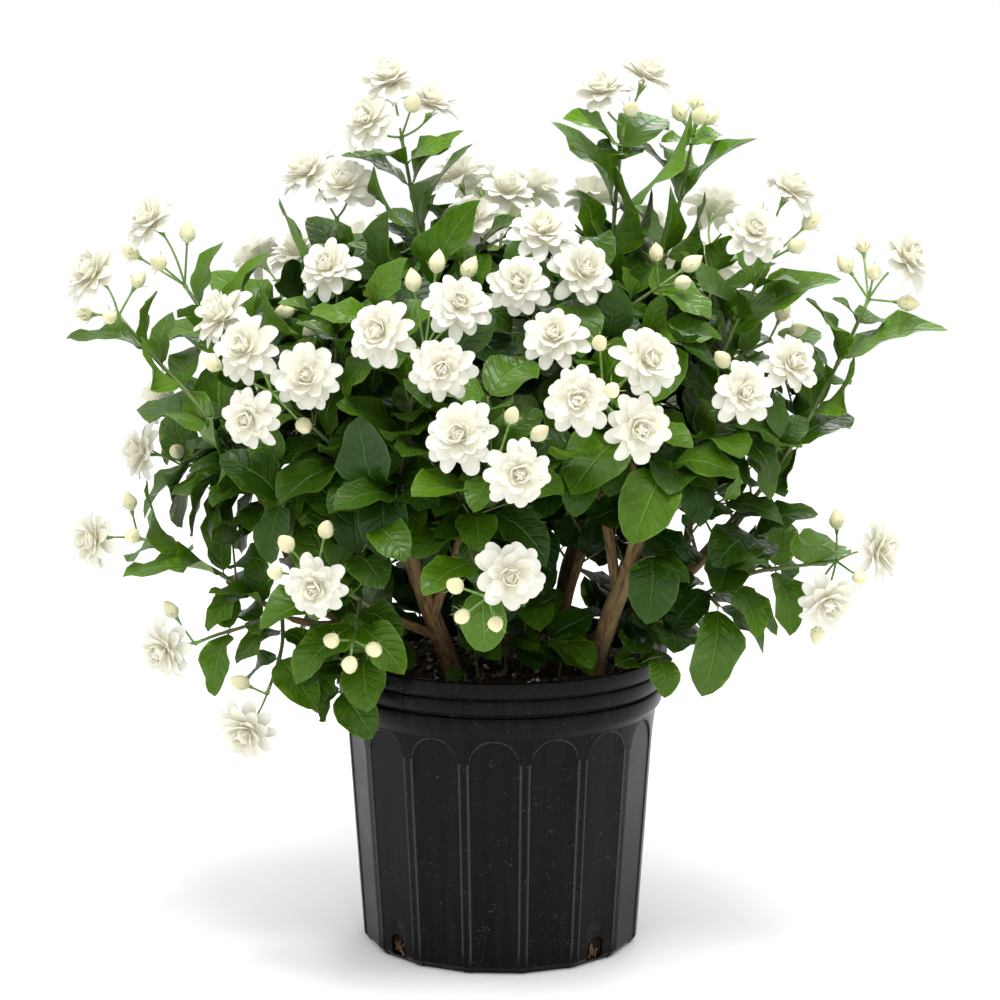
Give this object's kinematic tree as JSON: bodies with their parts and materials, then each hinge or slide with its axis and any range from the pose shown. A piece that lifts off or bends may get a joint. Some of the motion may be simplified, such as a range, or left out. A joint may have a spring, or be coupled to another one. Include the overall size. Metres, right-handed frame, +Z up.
{
  "type": "potted arabian jasmine",
  "caption": "Bushy Arabian jasmine shrub with double white blooms and waved leaves on woody stems, rooted in potting mix in a fluted round nursery pot with drain holes.",
  "frame": {"origin": "centre of the pot's flat underside", "axes": "+Z up along the pot's axis; the side seen in the picture faces -Y, and +X is to its right"},
  "size_m": [0.702, 0.5517, 0.7149],
  "materials": {
    "black_plastic": "semi-matte, moulded, faintly scuffed",
    "potting_mix": "loose composted bark with pale grains",
    "bark": "rough, fibrous",
    "leaf_green": "waxy gloss on top, duller below",
    "petal_white": "soft, slightly translucent"
  },
  "bodies": {
    "root": {"pot": "black_plastic", "soil": "potting_mix", "wood_back_left": "bark", "wood_back_right": "bark", "wood_centre": "bark", "wood_centre_right": "bark", "wood_front_left": "bark", "wood_front_right": "bark", "wood_left": "bark", "wood_right": "bark", "shoot_far_left": "leaf_green", "shoot_far_right": "leaf_green", "shoot_front_centre": "leaf_green", "shoot_front_left": "leaf_green", "shoot_front_right": "leaf_green", "shoot_high_right": "leaf_green", "shoot_left_upper": "leaf_green", "shoot_low_front_left": "leaf_green", "shoot_low_left": "leaf_green", "shoot_low_right": "leaf_green", "shoot_mid_front": "leaf_green", "shoot_rear_centre": "leaf_green", "shoot_rear_left": "leaf_green", "shoot_rear_right": "leaf_green", "shoot_right_front": "leaf_green", "shoot_top_left": "leaf_green", "shoot_top_right": "leaf_green", "shoot_upper_front": "leaf_green", "blooms_back_right": "petal_white", "blooms_back_upper_left": "petal_white", "blooms_back_upper_right": "petal_white", "blooms_far_left": "petal_white", "blooms_far_right": "petal_white", "blooms_front_centre": "petal_white", "blooms_front_left": "petal_white", "blooms_front_right": "petal_white", "blooms_high_centre": "petal_white", "blooms_high_left": "petal_white", "blooms_high_right": "petal_white", "blooms_left_back": "petal_white", "blooms_left_hanging": "petal_white", "blooms_left_low": "petal_white", "blooms_left_lower": "petal_white", "blooms_left_mid": "petal_white", "blooms_left_upper": "petal_white", "blooms_low_front": "petal_white", "blooms_low_front_left": "petal_white", "blooms_low_right": "petal_white", "blooms_mid_front": "petal_white", "blooms_rear_centre_high": "petal_white", "blooms_rear_centre_low": "petal_white", "blooms_rear_left_high": "petal_white", "blooms_rear_left_low": "petal_white", "blooms_rear_right_high": "petal_white", "blooms_rear_right_low": "petal_white", "blooms_right_front": "petal_white", "blooms_top_left": "petal_white", "blooms_top_right": "petal_white", "blooms_upper_front": "petal_white", "blooms_upper_left": "petal_white"}
  },
  "joints": []
}
